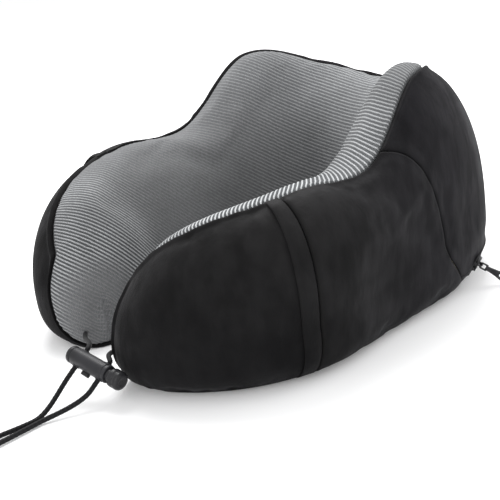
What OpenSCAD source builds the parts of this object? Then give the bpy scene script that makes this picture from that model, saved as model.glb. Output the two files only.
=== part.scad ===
// U shaped travel neck pillow with a zipped cover and a drawcord lock.
// Z is up and the pillow stands on z = 0. The open end is toward -Y and X = 0 is the plane of symmetry.
// The origin is on the underside, on the centreline below the nape. All sizes are in millimetres.

/* [Pillow] */
// Height of the crest at the nape
nape_height = 124; // [115:1:132]
// Height of the two humps beside the neck
hump_height = 143; // [132:1:152]
// Height of the arms in front of the humps
arm_height = 102; // [94:1:110]
// Height of the arm tips
tip_height = 66; // [58:1:72]
// Half width of the body round the back of the neck
back_half = 43; // [41:0.5:44]
// Half width of the body at the front lobes
lobe_half = 46; // [44:0.5:48]

/* [Centreline] */
// Radius of the centreline round the nape
back_radius = 70; // [68:1:76]
// Angle from the nape to where each arm runs straight
back_turn = 80; // [76:1:84]
// Length of the straight part of each arm
arm_length = 84; // [74:1:92]
// Radius at which the arm tips turn inward
tip_radius = 67; // [64:1:72]
// Angle through which the arm tips turn inward
tip_turn = 91; // [84:1:94]

/* [Cover] */
// Thickness of the cover cloth with its backing
cloth = 1.2; // [0.8:0.1:1.4]
// Depth of the cover's outer face below the full outline
cover_depth = 0.8; // [0.7:0.1:1]
// Distance along the centreline from the nape to the pocket mouth
pocket_mouth_at = 208; // [195:1:215]
// Distance along the centreline from the nape to the rear seam, halfway up the side
rear_seam_at = 103; // [98:1:110]
// Width of the hem along the pocket mouth
hem_width = 6; // [4:0.5:9]
// Half width of the flat underside panel
base_half = 21; // [17:0.5:21.5]

/* [Zip] */
// Angle from the nape to each end of the zip
zip_turn = 62; // [50:1:62]
// Visible width of each zip tape
tape_width = 5; // [3.5:0.5:5]
// Width of each row of coil teeth
coil_width = 2; // [1.6:0.1:2.4]
// Length of the slider
slider_length = 10; // [8:0.5:11]
// Length of the pull tab
puller_length = 20; // [12:1:21]

/* [Cords and lock] */
// Diameter of the drawcords
cord_d = 3; // [2.4:0.1:3.2]
// Outer diameter of the lock barrel
barrel_d = 10.4; // [10:0.1:11]
// Distance between the two cord holes
hole_spacing = 19; // [17:0.5:20]
// Travel of the lock button
press_travel = 2.5; // [1.5:0.1:2.5]
// Straight cord past the lock, over which it slides
slide_travel = 6; // [3:0.5:6.5]

/* [Hidden] */

velour_color = "#1d1c20";
knit_color = "#77797c";
foam_color = "#e8e0c8";
plastic_color = "#3a3a3e";
metal_color = "#2a2a2c";

// Centreline
back_centre_y = -back_radius;
nape_run = back_radius * back_turn * PI / 180;
straight_end = nape_run + arm_length;
run = straight_end + tip_radius * tip_turn * PI / 180;

// Section shape: roundness above and below the widest line, and how far the neck side leans in
round_top = 0.95;
square_top = 0.87;
round_base = 0.825;
flat_base = 1.12;
neck_slope = 0.18;
// Lengths over which the tips close in plan and in height, and the end's share of the height
tip_close = 34;
tip_fall = 36;
tip_share = 0.43;

// Profile at seven equally spaced stations from the nape to the tip
crest = [
  nape_height, 0.4 * nape_height + 0.6 * hump_height, hump_height, arm_height + 4, arm_height,
  0.9 * arm_height, tip_height];
half = [back_half, back_half, back_half - 1, back_half - 1, lobe_half, back_half, back_half - 5];
belly_back = 45;
belly = [belly_back, belly_back, belly_back - 1, 38, 35, 31, 22];
lean = [0.03, 0.05, 0.35, 0.53, 0.43, 0.15, -0.15];
seam = [80, 79, 72, 73, 86, 80, 50];
// The seam sweeps down to the base across the last stretch of each tip
seam_sweep_from = 0.94;
seam_sweep = 104;
// Angle round the section at which the side panels end, below, and the knit ends, inside
base_edge = -58;
knit_edge = 238;
// Half the angular gap between panels that meet at a seam
seam_gap = 0.4;
rear_seam_lean = 0.47;

// Zip: it lies on a cone band of the curved lower edge
zip_phi = -34;
zip_offset = back_half * pow(cos(zip_phi), round_base) - 0.9;
zip_z = belly_back * (1 - flat_base * pow(-sin(zip_phi), round_base)) + 0.5;
zip_slope = 60;
zip_radius = back_radius + zip_offset;
coil_gap = 0.7;
coil_half = 0.8;
tape_half = 0.3;
tape_inner = coil_gap + coil_width + 0.1;
wing_in = 1;
wing_out = 2.2;
wing_half = tape_inner + 1.2;
stop_turn = 0.7;
slider_turn = slider_length / zip_radius * 180 / PI;
slider_park = zip_turn - stop_turn - slider_turn / 2 - 0.4;
pin_r = 0.6;
pin_n = wing_out + 1.5;
crown_half = 1;
cheek = 1.1;
cheek_gap = 0.15;

// Cord lock: its frame is turned, tipped and rolled, and the cords run along its Y axis
lock_at = [41, back_centre_y - 188.5, 19];
lock_turn = [38, 0, 0];
lock_tip = [0, 13, 14];
barrel_r = barrel_d / 2;
barrel_left = -21;
barrel_right = 10.5;
hole_left = -13;
hole_right = hole_left + hole_spacing;
hole_r = cord_d / 2 + 0.4;
bore_r = 3.7;
stem_r = 3.65;
bore_left = barrel_left + 1;
slot_r = cord_d / 2 + 0.15;
stem_left = hole_left - slot_r - 1;
button_left = barrel_right + press_travel + 0.6;
button_right = 21;
button_r = 5.4;

// Value of a profile list at share t of the run, as a smooth curve through its stations
function station(list, t) =
  let(n = len(list) - 1, x = min(max(t, 0), 1) * n, i = min(floor(x), n - 1), f = x - i,
      a = i == 0 ? list[1] : list[i - 1], b = list[i], c = list[i + 1],
      d = i == n - 1 ? 2 * c - b : list[i + 2])
  b + f / 2 * (c - a + f * (2 * a - 5 * b + 4 * c - d + f * (3 * (b - c) + d - a)));

function smooth(u) = let(c = min(max(u, 0), 1)) c * c * (3 - 2 * c);

// Heading of the centreline, clockwise from +X, at distance s from the nape
function heading(s) =
  min(s, nape_run) / back_radius * 180 / PI + max(s - straight_end, 0) / tip_radius * 180 / PI;

function centre(s) =
  let(a = min(s, nape_run) / back_radius * 180 / PI,
      straight = min(max(s - nape_run, 0), arm_length), b = max(heading(s), back_turn))
  [back_radius * sin(a) + straight * cos(back_turn) + tip_radius * (sin(b) - sin(back_turn)),
   back_centre_y + back_radius * cos(a) - straight * sin(back_turn)
     + tip_radius * (cos(b) - cos(back_turn))];

// Angle round the section at which the knit meets the velour
function seam_angle(t) =
  station(seam, t) - seam_sweep * smooth((t - seam_sweep_from) / (1 - seam_sweep_from));

// Point on the pillow: v runs from the left tip at -1 to the right tip at 1, phi goes round the
// section from the outer side at 0 over the top at 90, and depth is the distance below the outline
function skin(v, phi, depth) =
  let(t = abs(v), side = v < 0 ? -1 : 1, s = t * (run - depth), left = max(run - depth - s, 0.05),
      w = station(half, t) - depth, h = station(crest, t) - depth, b = station(belly, t),
      close = pow(1 - pow(max(1 - left / tip_close, 0), 2.5), 0.4),
      fall = tip_share + (1 - tip_share) * sqrt(1 - pow(max(1 - left / tip_fall, 0), 2)),
      top = max(h * fall, b + 4), cs = cos(phi), sn = sin(phi), up = sn > 0,
      a = sign(cs) * pow(abs(cs), up ? round_top : round_base),
      rise = up ? pow(sn, square_top) : 0,
      z = up ? b + (top - b) * rise : b * (1 - flat_base * pow(-sn, round_base)),
      lat = w * close * (a + station(lean, t) * (1 - b / h) * rise + neck_slope * max(-a, 0) * rise),
      c = centre(s), d = heading(s))
  [side * (c[0] + lat * sin(d)), c[1] + lat * cos(d), max(z, depth)];

// Closed sheet between two depths, on a grid of (v, phi) pairs given as rows
module sheet(grid, outer, inner) {
  rows = len(grid);
  cols = len(grid[0]);
  n = rows * cols;
  outside = [for (row = grid) for (p = row) skin(p[0], p[1], outer)];
  inside = [for (row = grid) for (p = row) skin(p[0], p[1], inner)];
  // The left arm's quads start one corner on, so that both arms are split alike
  quads = [for (i = [0:rows - 2]) for (j = [0:cols - 2])
    let(q = [i * cols + j, (i + 1) * cols + j, (i + 1) * cols + j + 1, i * cols + j + 1])
    grid[i][j][0] < 0 ? [q[1], q[2], q[3], q[0]] : q];
  rim = concat(
    [for (j = [0:cols - 1]) j],
    [for (i = [1:rows - 1]) i * cols + cols - 1],
    [for (j = [cols - 2:-1:0]) (rows - 1) * cols + j],
    [for (i = [rows - 2:-1:1]) i * cols]);
  m = len(rim);
  polyhedron(
    points = concat(outside, inside),
    faces = concat(
      [for (q = quads) for (f = [[q[0], q[1], q[2]], [q[0], q[2], q[3]]]) f],
      [for (q = quads) for (f = [[q[2] + n, q[1] + n, q[0] + n], [q[3] + n, q[2] + n, q[0] + n]]) f],
      [for (k = [0:m - 1]) let(a = rim[k], b = rim[(k + 1) % m])
        for (f = [[a, b, b + n], [a, b + n, a + n]]) f]),
    convexity = 10);
}

// Angle at share f of the way from lo to hi, with the share k falling exactly at bend
function column(lo, bend, hi, f, k) =
  f <= k ? lo + (bend - lo) * f / k : bend + (hi - bend) * (f - k) / (1 - k);

// Angle at share f of the side panel's way up to hi, with a column on the widest line
function side_column(hi, f) =
  column(base_edge, min(0, base_edge + 0.8 * (hi - base_edge)), hi, f, 5 / 12);

// Share of the run at which the rear seam crosses the angle phi
function rear_seam(phi) = (rear_seam_at + rear_seam_lean * phi) / run;

// The rear seam at share f of the way from the angle lo up to the knit's seam
function rear_row(lo, f) =
  let(a = rear_seam(lo + (73 - lo) * f), b = rear_seam(lo + (seam_angle(a) - seam_gap - lo) * f))
  rear_seam(lo + (seam_angle(b) - seam_gap - lo) * f);

// The same for the side panel's columns
function side_row(f) =
  let(a = rear_seam(side_column(73, f)), b = rear_seam(side_column(seam_angle(a) - seam_gap, f)))
  rear_seam(side_column(seam_angle(b) - seam_gap, f));

// Half the gap at the knit's seam, wider where the seam sweeps down round the tip
function seam_half(t) = seam_gap + 1.8 * smooth((t - seam_sweep_from) / 0.03);

// Row i of n from first to the tip: the last rows are closer together and the same for every layer
tip_rows = 12;
function row_at(first, i, n) =
  let(k = n - tip_rows)
  i <= k ? first + (seam_sweep_from - first) * i / k
    : 1 - (1 - seam_sweep_from) * pow(1 - (i - k) / tip_rows, 1.4);

// Solid foam, set in under the cover and relieved behind the zip
foam_depth = 3.2;
zip_relief = 4.5;
function relief(v, phi) =
  zip_relief * smooth((phi + 66) / 12) * smooth((-6 - phi) / 12) * smooth((92 - abs(v) * run) / 10);

module foam_core() {
  rows = 80;
  cols = 40;
  rings = [for (i = [0:rows]) let(k = i - rows / 2, v = sign(k) * row_at(0, abs(k), rows / 2))
    [for (j = [0:cols - 1]) let(phi = -180 + 360 * j / cols) skin(v, phi, foam_depth + relief(v, phi))]];
  color(foam_color)
    polyhedron(
      points = [for (ring = rings) for (p = ring) p],
      faces = concat(
        [for (i = [0:rows - 1]) for (j = [0:cols - 1]) let(k = (j + 1) % cols)
          for (f = [[i * cols + j, (i + 1) * cols + j, (i + 1) * cols + k],
                    [i * cols + j, (i + 1) * cols + k, i * cols + k]]) f],
        [[for (j = [0:cols - 1]) j], [for (j = [cols - 1:-1:0]) rows * cols + j]]),
      convexity = 10);
}

module knit_panel() {
  rows = 80;
  cols = 15;
  color(knit_color)
    sheet(
      [for (i = [0:rows]) let(k = i - rows / 2, v = sign(k) * row_at(0, abs(k), rows / 2),
        lo = seam_angle(abs(v)) + seam_half(abs(v)))
        [for (j = [0:cols]) [v, column(lo, 180, knit_edge, j / cols, 10 / cols)]]],
      cover_depth, cover_depth + cloth);
}

// Velour of one arm, from the rear seam to the tip
module side_panel() {
  rows = 30;
  cols = 12;
  sheet(
    [for (i = [0:rows]) [for (j = [0:cols])
      let(v = row_at(side_row(j / cols) + 0.002, i, rows))
      [v, side_column(seam_angle(v) - seam_half(v), j / cols)]]],
    cover_depth, cover_depth + cloth);
}

module side_panel_right() {
  color(velour_color) side_panel();
}

module side_panel_left() {
  color(velour_color) mirror([1, 0, 0]) side_panel();
}

// The pocket cloth lies over the side panel, between the rear seam and the mouth
pocket_lift = 1.4;
pocket_cloth = 1.1;
hem_lift = 1.8;

module pocket() {
  rows = 14;
  cols = 12;
  sheet(
    [for (i = [0:rows]) [for (j = [0:cols])
      let(first = rear_row(base_edge, j / cols) + 0.004,
          last = (pocket_mouth_at - hem_width - 0.4) / run,
          v = first + (last - first) * i / rows, hi = seam_angle(v) - 1.5)
      [v, base_edge + (hi - base_edge) * j / cols]]],
    -pocket_lift, pocket_cloth - pocket_lift);
}

module pocket_right() {
  color(velour_color) pocket();
}

module pocket_left() {
  color(velour_color) mirror([1, 0, 0]) pocket();
}

module pocket_hem() {
  rows = 2;
  cols = 12;
  sheet(
    [for (i = [0:rows]) [for (j = [0:cols])
      let(v = (pocket_mouth_at - hem_width * (1 - i / rows)) / run, hi = seam_angle(v) - 1.5)
      [v, base_edge + (hi - base_edge) * j / cols]]],
    -hem_lift, pocket_cloth - pocket_lift);
}

module pocket_hem_right() {
  color(velour_color) pocket_hem();
}

module pocket_hem_left() {
  color(velour_color) mirror([1, 0, 0]) pocket_hem();
}

// Velour round the back of the neck, between the two rear seams and above the zip
module back_panel() {
  rows = 44;
  cols = 9;
  lowest = -20;
  color(velour_color)
    sheet(
      [for (i = [0:rows]) [for (j = [0:cols])
        let(last = rear_row(lowest, j / cols) - 0.002, v = last * (2 * i / rows - 1),
            hi = seam_angle(abs(v)) - seam_gap)
        [v, lowest + (hi - lowest) * j / cols]]],
      cover_depth, cover_depth + cloth);
}

// Flat underside panel: its outline follows the centreline at a constant half width, round both ends
base_end = run - tip_close - 4;
base_steps = 36;
base_arc = 16;

function base_rim(s, n) =
  let(d = heading(abs(s)), c = centre(abs(s))) [sign(s) * (c[0] + n * sin(d)), c[1] + n * cos(d)];

function base_tip(side, g) =
  let(d = heading(base_end), c = centre(base_end) + base_half * [sin(d + g), cos(d + g)])
  [side * c[0], c[1]];

module base_panel() {
  color(velour_color)
    linear_extrude(height = cloth)
      polygon(concat(
        [for (i = [-base_steps:base_steps]) base_rim(base_end * i / base_steps, base_half)],
        [for (i = [1:base_arc - 1]) base_tip(1, 180 * i / base_arc)],
        [for (i = [base_steps:-1:-base_steps]) base_rim(base_end * i / base_steps, -base_half)],
        [for (i = [base_arc - 1:-1:1]) base_tip(-1, 180 * i / base_arc)]));
}

// Part of the zip: a closed outline of (across, out) points, swept between two angles from the
// nape. Across runs up the band and out is the distance outward from the coil's middle.
function band(p) =
  [zip_radius + p[0] * cos(zip_slope) + p[1] * sin(zip_slope),
   zip_z + p[0] * sin(zip_slope) - p[1] * cos(zip_slope)];

module zip_sweep(points, from, to) {
  translate([0, back_centre_y, 0]) rotate([0, 0, 90 - to])
    rotate_extrude(angle = to - from, $fn = 240) polygon([for (p = points) band(p)]);
}

function box(a0, a1, n0, n1) = [[a0, n0], [a1, n0], [a1, n1], [a0, n1]];

module zip_tape(side) {
  zip_sweep(side * box(tape_inner, tape_inner + tape_width, -tape_half, tape_half),
    -zip_turn - 1.5, zip_turn + 1.5);
}

module zip_tape_upper() {
  color(velour_color) zip_tape(1);
}

module zip_tape_lower() {
  color(velour_color) zip_tape(-1);
}

module zip_coil(side) {
  zip_sweep(side * box(coil_gap, coil_gap + coil_width, -coil_half, coil_half),
    -zip_turn + stop_turn, zip_turn - stop_turn);
}

module zip_coil_upper() {
  color(plastic_color) zip_coil(1);
}

module zip_coil_lower() {
  color(plastic_color) zip_coil(-1);
}

// One stop on each tape at the closed end, and one across both at the open end
module zip_stops() {
  reach = coil_gap + coil_width;
  color(metal_color) {
    zip_sweep(box(coil_gap, reach, -1.2, 1.2), zip_turn - stop_turn + 0.1, zip_turn);
    zip_sweep(box(-reach, -coil_gap, -1.2, 1.2), zip_turn - stop_turn + 0.1, zip_turn);
    zip_sweep(box(-reach, reach, -1.2, 1.2), -zip_turn, -zip_turn + stop_turn - 0.1);
  }
}

// Frame of the parked slider: X along the zip, Y down the band, Z outward
module slider_frame() {
  translate([0, back_centre_y, 0]) rotate([0, 0, -slider_park]) translate([0, zip_radius, zip_z])
    rotate([zip_slope - 180, 0, 0]) children();
}

// Slider: two wings joined by a post between the coils, flanges over the tapes, and a crown
module zip_slider() {
  from = slider_park - slider_turn / 2;
  to = slider_park + slider_turn / 2;
  flange = tape_inner + 0.4;
  color(metal_color) {
    zip_sweep(box(-wing_half, wing_half, wing_in, wing_out), from, to);
    zip_sweep(box(-wing_half, wing_half, -wing_out, -wing_in), from, to);
    zip_sweep(box(-0.5, 0.5, -wing_in - 0.5, wing_in + 0.5), to - 1.2, to - 0.1);
    zip_sweep(box(flange, wing_half - 0.1, 0.5, wing_in + 0.5), from + 0.1, to - 0.1);
    zip_sweep(box(0.1 - wing_half, -flange, 0.5, wing_in + 0.5), from + 0.1, to - 0.1);
    slider_frame() crown();
  }
}

module crown() {
  difference() {
    union() {
      translate([-2.2, -crown_half, wing_out - 0.4]) cube([4.4, 2 * crown_half, pin_n - wing_out + 0.4]);
      translate([0, crown_half, pin_n]) rotate([90, 0, 0]) cylinder(r = 2.2, h = 2 * crown_half, $fn = 40);
    }
    translate([0, crown_half + 1, pin_n]) rotate([90, 0, 0])
      cylinder(r = pin_r + 0.05, h = 2 * crown_half + 2, $fn = 32);
  }
}

// Pull tab: a cross pin through the crown, two cheeks and a tab that widens to a round end
module zip_puller() {
  reach = crown_half + cheek_gap;
  start = 3.2;
  root_half = reach + cheek;
  end_r = 3;
  color(metal_color) slider_frame() translate([0, 0, pin_n]) {
    rotate([90, 0, 0]) translate([0, 0, -root_half]) cylinder(r = pin_r, h = 2 * root_half, $fn = 32);
    for (side = [-1, 1])
      translate([-pin_r, side > 0 ? reach : -root_half, -pin_r]) cube([2 * pin_r, cheek, start + 1.4]);
    rotate([90, 0, 90]) translate([0, 0, -pin_r]) linear_extrude(height = 2 * pin_r) {
      polygon([[-root_half, start], [root_half, start], [end_r, puller_length - end_r],
        [-end_r, puller_length - end_r]]);
      translate([0, puller_length - end_r]) circle(r = end_r, $fn = 40);
    }
  }
}

// Point of the lock's own frame in the pillow's frame
function turn_x(p, a) = [p[0], p[1] * cos(a) - p[2] * sin(a), p[1] * sin(a) + p[2] * cos(a)];
function turn_y(p, a) = [p[0] * cos(a) + p[2] * sin(a), p[1], p[2] * cos(a) - p[0] * sin(a)];
function turn_z(p, a) = [p[0] * cos(a) - p[1] * sin(a), p[0] * sin(a) + p[1] * cos(a), p[2]];
function from_lock(p) = lock_at + turn_z(turn_y(turn_x(p, lock_turn[0]), lock_tip[1]), lock_tip[2]);

module lock_frame() {
  translate(lock_at) rotate(lock_tip) rotate(lock_turn) children();
}

// Point at share u on a cubic curve that leaves a toward b and reaches d from c
function bend(a, b, c, d, u) =
  pow(1 - u, 3) * a + 3 * u * pow(1 - u, 2) * b + 3 * u * u * (1 - u) * c + pow(u, 3) * d;

// Cord from its anchor at the arm tip, straight through the lock at hole x, to its knotted end
bend_steps = 9;
function cord_path(anchor, lead, hole, rest, tail) =
  let(inlet = from_lock([hole, barrel_r + 0.6, 0]),
      outlet = from_lock([hole, -barrel_r - slide_travel - 0.8, 0]),
      along = (outlet - inlet) / norm(outlet - inlet))
  concat(
    [for (i = [0:bend_steps]) bend(anchor, anchor + lead, inlet - 8 * along, inlet, i / bend_steps)],
    [for (i = [0:bend_steps]) bend(outlet, outlet + 10 * along, rest + [-2, 9, 0], rest, i / bend_steps)],
    [for (i = [1:bend_steps]) bend(rest, rest + [2, -9, 0], tail + [-1, 9, 0], tail, i / bend_steps)],
    [for (i = [1:knot_steps]) tail + [0, -knot_length * i / knot_steps, 0]]);

knot_length = 8;
knot_steps = 8;
knot_swell = 1.6;

module tube(path) {
  sides = 12;
  n = len(path);
  rings = [for (i = [0:n - 1])
    let(d = path[min(i + 1, n - 1)] - path[max(i - 1, 0)], t = d / norm(d),
        a = cross(t, [0, 0, 1]) / norm(cross(t, [0, 0, 1])), b = cross(a, t),
        k = i - (n - 1 - knot_steps),
        swell = k > 0 ? knot_swell * sqrt(sin(180 * (k - 0.3) / knot_steps)) : 0,
        r = cord_d / 2 * (1 + swell))
    [for (j = [0:sides - 1])
      path[i] + [0, 0, r - cord_d / 2] + r * (a * cos(360 * j / sides) + b * sin(360 * j / sides))]];
  polyhedron(
    points = [for (ring = rings) for (p = ring) p],
    faces = concat(
      [for (i = [0:n - 2]) for (j = [0:sides - 1]) let(k = (j + 1) % sides)
        for (f = [[i * sides + j, (i + 1) * sides + j, (i + 1) * sides + k],
                  [i * sides + j, (i + 1) * sides + k, i * sides + k]]) f],
      [[for (j = [0:sides - 1]) j], [for (j = [sides - 1:-1:0]) (n - 1) * sides + j]]),
    convexity = 6);
}

// Each cord runs from an arm tip through the lock's hole on the same side
cord_z = cord_d / 2 + 0.2;
rest_y = back_centre_y - 229;
module drawcord_right() {
  tip = centre(run);
  color(velour_color)
    tube(cord_path([tip[0] - 4, tip[1] - 5, 19], [1, -8, 1], hole_right,
      [43, rest_y, cord_z], [50, rest_y - 38, cord_z]));
}

module drawcord_left() {
  tip = centre(run);
  color(velour_color)
    tube(cord_path([4 - tip[0], tip[1] - 5, 10], [10, -7, 1], hole_left,
      [39, rest_y, cord_z], [40, rest_y - 42, cord_z]));
}

// Barrel with a rounded closed end, a bore for the plunger, two cord holes and a small lug
module lock_barrel() {
  edge = 1.6;
  color(plastic_color) lock_frame() difference() {
    union() {
      rotate([0, 90, 0]) rotate_extrude($fn = 64) {
        square_profile(barrel_left + edge, barrel_right, barrel_r);
        square_profile(barrel_left, barrel_left + edge + 1, barrel_r - edge);
        translate([barrel_r - edge, barrel_left + edge]) circle(r = edge, $fn = 32);
      }
      translate([hole_left + 6, -barrel_r - 1, -2]) cube([5, 3, 2]);
    }
    translate([bore_left, 0, 0]) rotate([0, 90, 0])
      cylinder(r = bore_r, h = barrel_right - bore_left + 1, $fn = 48);
    for (x = [hole_left, hole_right])
      translate([x, barrel_r + 1, 0]) rotate([90, 0, 0])
        cylinder(r = hole_r, h = 2 * barrel_r + 2, $fn = 40);
  }
}

module square_profile(from, to, r) {
  translate([0, from]) square([r, to - from]);
}

// Plunger: a stem slotted for both cords, and a domed button
module lock_plunger() {
  dome = 1.4;
  color(plastic_color) lock_frame() difference() {
    union() {
      translate([stem_left, 0, 0]) rotate([0, 90, 0])
        cylinder(r = stem_r, h = button_left - stem_left + 1, $fn = 48);
      rotate([0, 90, 0]) rotate_extrude($fn = 64) {
        square_profile(button_left, button_right - dome, button_r);
        square_profile(button_left, button_right, button_r - dome);
        translate([button_r - dome, button_right - dome]) circle(r = dome, $fn = 32);
      }
    }
    for (x = [hole_left, hole_right]) cord_slot(x);
  }
}

module cord_slot(x) {
  deep = 2 * stem_r + 2;
  translate([x, deep / 2, 0]) rotate([90, 0, 0]) cylinder(r = slot_r, h = deep, $fn = 32);
  translate([x + press_travel, deep / 2, 0]) rotate([90, 0, 0]) cylinder(r = slot_r, h = deep, $fn = 32);
  translate([x, -deep / 2, -slot_r]) cube([press_travel, deep, 2 * slot_r]);
}

// Spring: coils of round wire between the closed end of the bore and the stem
spring_wire = 0.5;
spring_coil_r = 2.7;
module lock_spring() {
  turns = 3;
  steps = 24;
  sides = 8;
  gap = 0.15;
  from = bore_left + spring_wire / 2 + gap;
  length = stem_left - from - spring_wire / 2 - gap;
  n = turns * steps;
  pitch_angle = atan(length / turns / (2 * PI * spring_coil_r));
  rings = [for (i = [0:n]) let(a = 360 * i / steps)
    [for (j = [0:sides - 1]) let(b = 360 * j / sides, r = spring_coil_r + spring_wire / 2 * cos(b))
      [from + length * i / n + spring_wire / 2 * sin(b) * cos(pitch_angle), r * cos(a), r * sin(a)]]];
  color("#b8b8bc") lock_frame()
    polyhedron(
      points = [for (ring = rings) for (p = ring) p],
      faces = concat(
        [for (i = [0:n - 1]) for (j = [0:sides - 1]) let(k = (j + 1) % sides)
          for (f = [[i * sides + j, i * sides + k, (i + 1) * sides + k],
                    [i * sides + j, (i + 1) * sides + k, (i + 1) * sides + j]]) f],
        [[for (j = [sides - 1:-1:0]) j], [for (j = [0:sides - 1]) n * sides + j]]),
      convexity = 8);
}

foam_core();
knit_panel();
side_panel_right();
side_panel_left();
pocket_right();
pocket_left();
pocket_hem_right();
pocket_hem_left();
back_panel();
base_panel();
zip_tape_upper();
zip_tape_lower();
zip_coil_upper();
zip_coil_lower();
zip_stops();
zip_slider();
zip_puller();
drawcord_right();
drawcord_left();
lock_barrel();
lock_plunger();
lock_spring();
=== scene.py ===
import math
import bpy
import numpy as np
from mathutils import Matrix, Vector


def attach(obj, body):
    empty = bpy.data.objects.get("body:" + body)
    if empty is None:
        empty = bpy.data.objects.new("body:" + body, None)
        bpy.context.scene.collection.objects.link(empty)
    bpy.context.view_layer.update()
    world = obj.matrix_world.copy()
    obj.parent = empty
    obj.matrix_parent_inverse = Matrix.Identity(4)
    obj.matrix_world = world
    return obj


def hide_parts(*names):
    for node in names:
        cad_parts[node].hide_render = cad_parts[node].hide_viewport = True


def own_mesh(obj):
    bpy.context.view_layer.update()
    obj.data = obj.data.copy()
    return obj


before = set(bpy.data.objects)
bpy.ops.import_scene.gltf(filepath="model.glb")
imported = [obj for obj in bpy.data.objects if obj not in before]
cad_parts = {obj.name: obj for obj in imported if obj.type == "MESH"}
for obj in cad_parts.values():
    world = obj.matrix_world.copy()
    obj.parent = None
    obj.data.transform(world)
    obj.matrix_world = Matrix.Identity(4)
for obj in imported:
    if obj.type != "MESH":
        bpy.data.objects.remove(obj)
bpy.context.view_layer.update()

# --- driving sizes (mm and degrees)
BACK_RADIUS, BACK_TURN, ARM_LENGTH, TIP_RADIUS, TIP_TURN = 70.0, 80.0, 84.0, 67.0, 95.0
BACK_CENTRE_Y = -BACK_RADIUS
NAPE_RUN = BACK_RADIUS * math.radians(BACK_TURN)
STRAIGHT_END = NAPE_RUN + ARM_LENGTH
RUN = STRAIGHT_END + TIP_RADIUS * math.radians(TIP_TURN)
CREST = (124, 136, 147, 106, 103, 92, 66)
HALF = (43, 43, 42, 42, 46, 43, 38)
BELLY = (45, 45, 44, 38, 35, 31, 22)
LEAN = (0.03, 0.05, 0.35, 0.53, 0.43, 0.15, -0.15)
NECK_SLOPE = (0.18, 0.34, 0.34, 0.18, 0.18, 0.18, 0.18)
SEAM = (80, 79, 72, 73, 86, 80, 50)
SWEEP_FROM, SWEEP = 0.94, 104
# The cover sits a little twisted on the foam: degrees by which each arm's seam is off, at the same stations
SHIFT_RIGHT = (2, 5, 1, 0, -1, 2, 8)
SHIFT_LEFT = (2, 11, 15, 7, -1, -6, -8)
# Powers that round the section's sides and crown, and how far the belly's curve runs on below the floor
SIDE_ROUND, CROWN_ROUND, BELLY_DROP = 0.825, 0.87, 1.12
COVER_DEPTH, CLOTH, REST_DEPTH = 0.8, 1.2, 1.2
BASE_EDGE, KNIT_EDGE = -58.0, 238.0
MOUTH_AT, HEM, REAR_AT, REAR_LEAN = 208.0, 6.0, 103.0, 0.47
ZIP_PHI, ZIP_TURN, ZIP_SLOPE = -34.0, 62.0, 60.0
ZIP_RADIUS = BACK_RADIUS + HALF[0] * math.cos(math.radians(-ZIP_PHI)) ** SIDE_ROUND - 0.9
ZIP_Z = BELLY[0] * (1 - BELLY_DROP * math.sin(math.radians(-ZIP_PHI)) ** SIDE_ROUND) + 0.5
SLIDER_LENGTH, PULLER_LENGTH = 10.0, 17.0
SLIDER_PARK = ZIP_TURN - 0.7 - math.degrees(SLIDER_LENGTH / ZIP_RADIUS) / 2 - 0.4
PIN_OUT = 3.7
CORD_R, BARREL_R, HOLE_LEFT, HOLE_RIGHT = 1.5, 5.2, -13.0, 6.0
LOCK_AT, LOCK_YAW, LOCK_DIP, LOCK_TURN = (41.0, -258.5, 19.0), 14, 13, 38
RIB_PITCH, LOOP_PITCH, TAPE_PITCH, BRAID_PITCH, CORD_STEP = 2.24, 0.95, 0.8, 5.2, 0.45
# How clearly the knit's stripes show, at the same stations
CONTRAST_RIGHT = (0.30, 0.22, 0.36, 0.70, 0.90, 0.90, 0.90)
CONTRAST_LEFT = (0.30, 0.28, 0.20, 0.07, 0.06, 0.45, 0.80)
MM = 0.001


# --- the pillow's surface
def station(values, t):
    """Smooth value at share t of an arm's run, from values at even stations from the nape to the tip."""
    v = np.asarray(values, float)
    n = len(v) - 1
    x = np.clip(t, 0, 1) * n
    i = np.minimum(np.floor(x).astype(int), n - 1)
    f = x - i
    ext = np.concatenate([[v[1]], v, [2 * v[-1] - v[-2]]])
    a, b, c, d = ext[i], ext[i + 1], ext[i + 2], ext[i + 3]
    return b + f / 2 * (c - a + f * (2 * a - 5 * b + 4 * c - d + f * (3 * (b - c) + d - a)))


def smooth(u):
    c = np.clip(u, 0, 1)
    return c * c * (3 - 2 * c)


def bell(x, width):
    return np.exp(-(x / width) ** 2)


def between(x, lo, rise, hi, fall):
    """1 between two values, with smooth ends that begin at lo and finish at hi."""
    return smooth((x - lo) / rise) * smooth((hi - x) / fall)


def bunched(u, power):
    """Signed share that runs from -1 to 1 and is denser toward both ends."""
    return np.sign(u) * (1 - (1 - np.abs(u)) ** power)


def heading(s):
    """Angle through which the pillow's centre line has turned at run s from the nape."""
    return np.minimum(s, NAPE_RUN) / BACK_RADIUS + np.maximum(s - STRAIGHT_END, 0) / TIP_RADIUS


def centre(s):
    """Point of the centre line at run s on the right arm."""
    bt = math.radians(BACK_TURN)
    a = np.minimum(s, NAPE_RUN) / BACK_RADIUS
    straight = np.clip(s - NAPE_RUN, 0, ARM_LENGTH)
    b = np.maximum(heading(s), bt)
    return np.stack([
        BACK_RADIUS * np.sin(a) + straight * math.cos(bt) + TIP_RADIUS * (np.sin(b) - math.sin(bt)),
        BACK_CENTRE_Y + BACK_RADIUS * np.cos(a) - straight * math.sin(bt)
        + TIP_RADIUS * (np.cos(b) - math.cos(bt))], -1)


def seam_angle(v):
    """Angle round the section at which the knit meets the velour."""
    t = np.abs(v)
    shift = np.where(v < 0, station(SHIFT_LEFT, t), station(SHIFT_RIGHT, t)) * smooth((1 - t) / 0.05)
    return station(SEAM, t) + shift - SWEEP * smooth((t - SWEEP_FROM) / (1 - SWEEP_FROM))


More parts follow.
